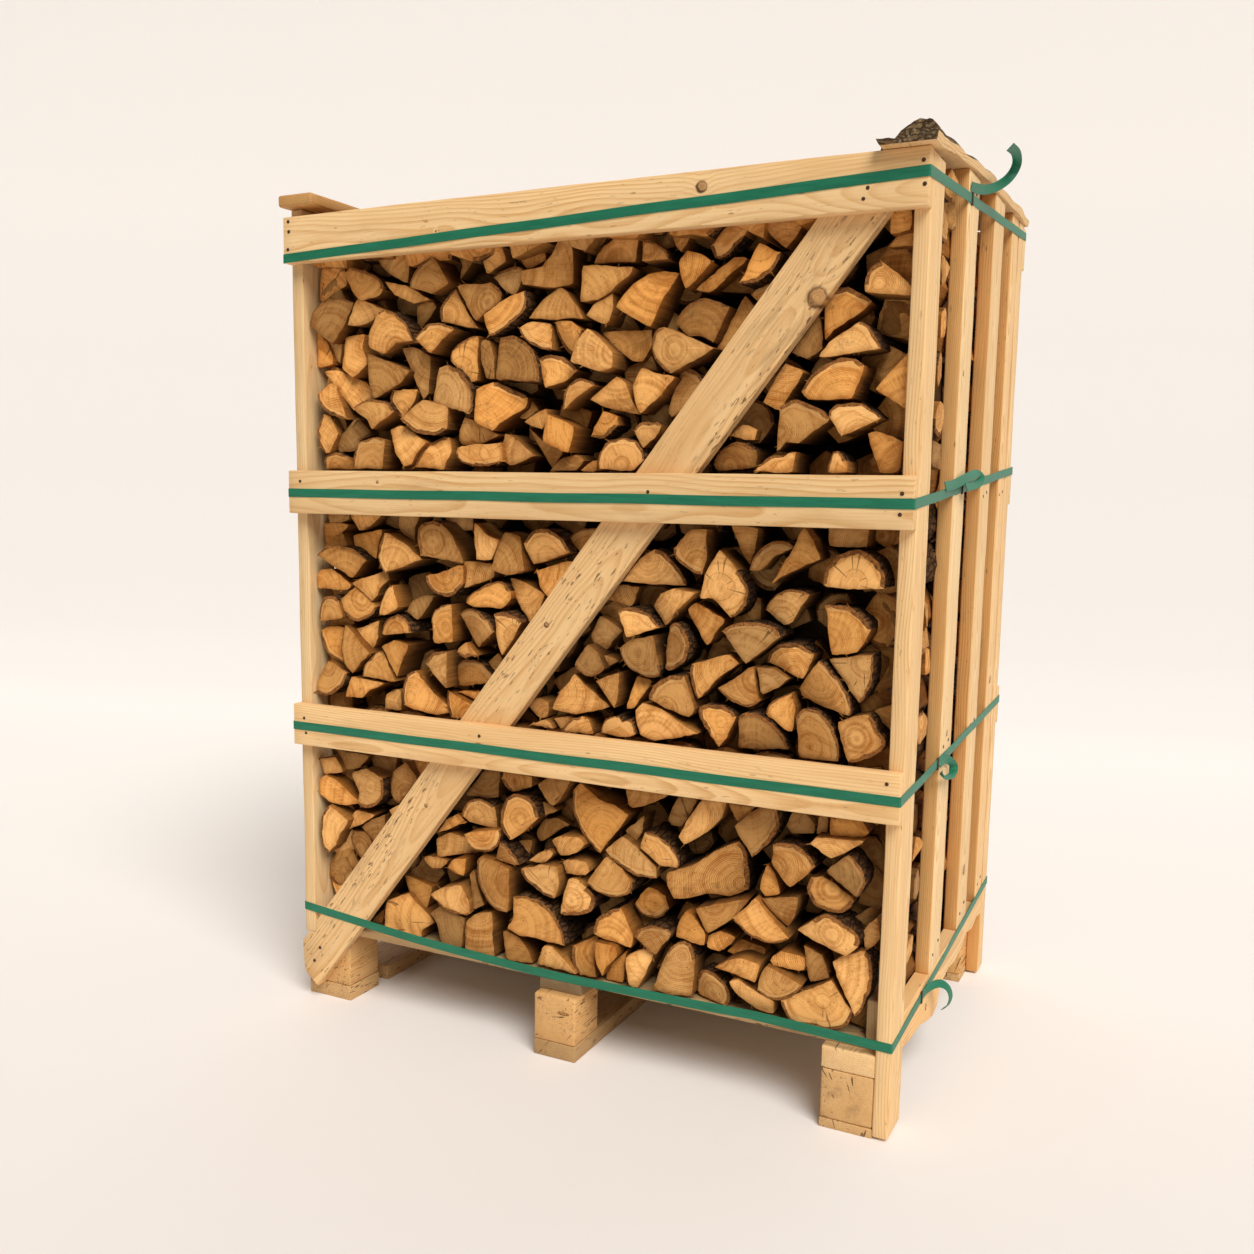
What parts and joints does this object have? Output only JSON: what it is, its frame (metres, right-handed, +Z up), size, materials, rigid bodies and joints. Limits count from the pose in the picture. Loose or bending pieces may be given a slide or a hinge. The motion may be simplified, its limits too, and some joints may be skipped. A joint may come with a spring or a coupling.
{
  "type": "crate of split firewood",
  "caption": "Upright pine crate with a diagonal brace, pallet feet and green straps, packed with split ash and oak logs stacked ends out; stands on its feet and takes lifting forks.",
  "frame": {"origin": "centre of the bounding box, on the floor", "axes": "+Z up; -Y is the front with the full-length rails and the brace; +X is the wall with the bark slab and the loose strap ends"},
  "size_m": [1.2621, 0.8992, 1.6202],
  "materials": {
    "pine": "sawn, matte",
    "pine_weathered": "sawn and weathered, matte",
    "pine_shaded": "sawn, matte",
    "bark": "rough bark",
    "firewood": "sawn ends and split sides, matte",
    "strap_green": "satin plastic strapping"
  },
  "bodies": {
    "root": {"rail_front_top": "pine", "rail_front_middle": "pine", "rail_front_bottom": "pine", "brace_front": "pine", "post_front_left": "pine", "post_front_right": "pine", "rail_back_top": "pine", "rail_back_middle": "pine", "rail_back_bottom": "pine", "brace_back": "pine", "post_back_left": "pine", "post_back_right": "pine", "slat_left_1": "pine", "slat_left_2": "pine", "slat_left_3": "pine", "slat_right_1": "pine", "slat_right_2": "pine", "slat_right_3": "pine", "block_left_front": "pine", "block_left_back": "pine", "block_centre_front": "pine", "block_centre_back": "pine", "block_right_front": "pine", "block_right_back": "pine", "foot_board_right_top": "pine", "wall_board_left_front": "pine_weathered", "wall_board_left_back": "pine_weathered", "wall_board_right_front": "pine_weathered", "wall_board_right_back": "pine_weathered", "block_left_second": "pine_weathered", "sole_right_front": "pine_weathered", "sole_right_back": "pine_weathered", "sole_left_front": "pine_weathered", "runner_left": "pine_weathered", "runner_centre": "pine_weathered", "cap_board_left": "pine_weathered", "corner_cleat": "pine_shaded", "stringer_left": "pine_shaded", "stringer_centre": "pine_shaded", "stringer_right": "pine_shaded", "deck_board_1": "pine_shaded", "deck_board_2": "pine_shaded", "deck_board_3": "pine_shaded", "deck_board_4": "pine_shaded", "deck_board_5": "pine_shaded", "bark_slab_right": "bark", "logs_front_lower": "firewood", "logs_front_middle": "firewood", "logs_front_upper": "firewood", "logs_middle_lower": "firewood", "logs_middle_middle": "firewood", "logs_middle_upper": "firewood", "logs_back_lower": "firewood", "logs_back_middle": "firewood", "logs_back_upper": "firewood", "strap_top": "strap_green", "strap_upper": "strap_green", "strap_lower": "strap_green", "strap_base": "strap_green"}
  },
  "joints": []
}
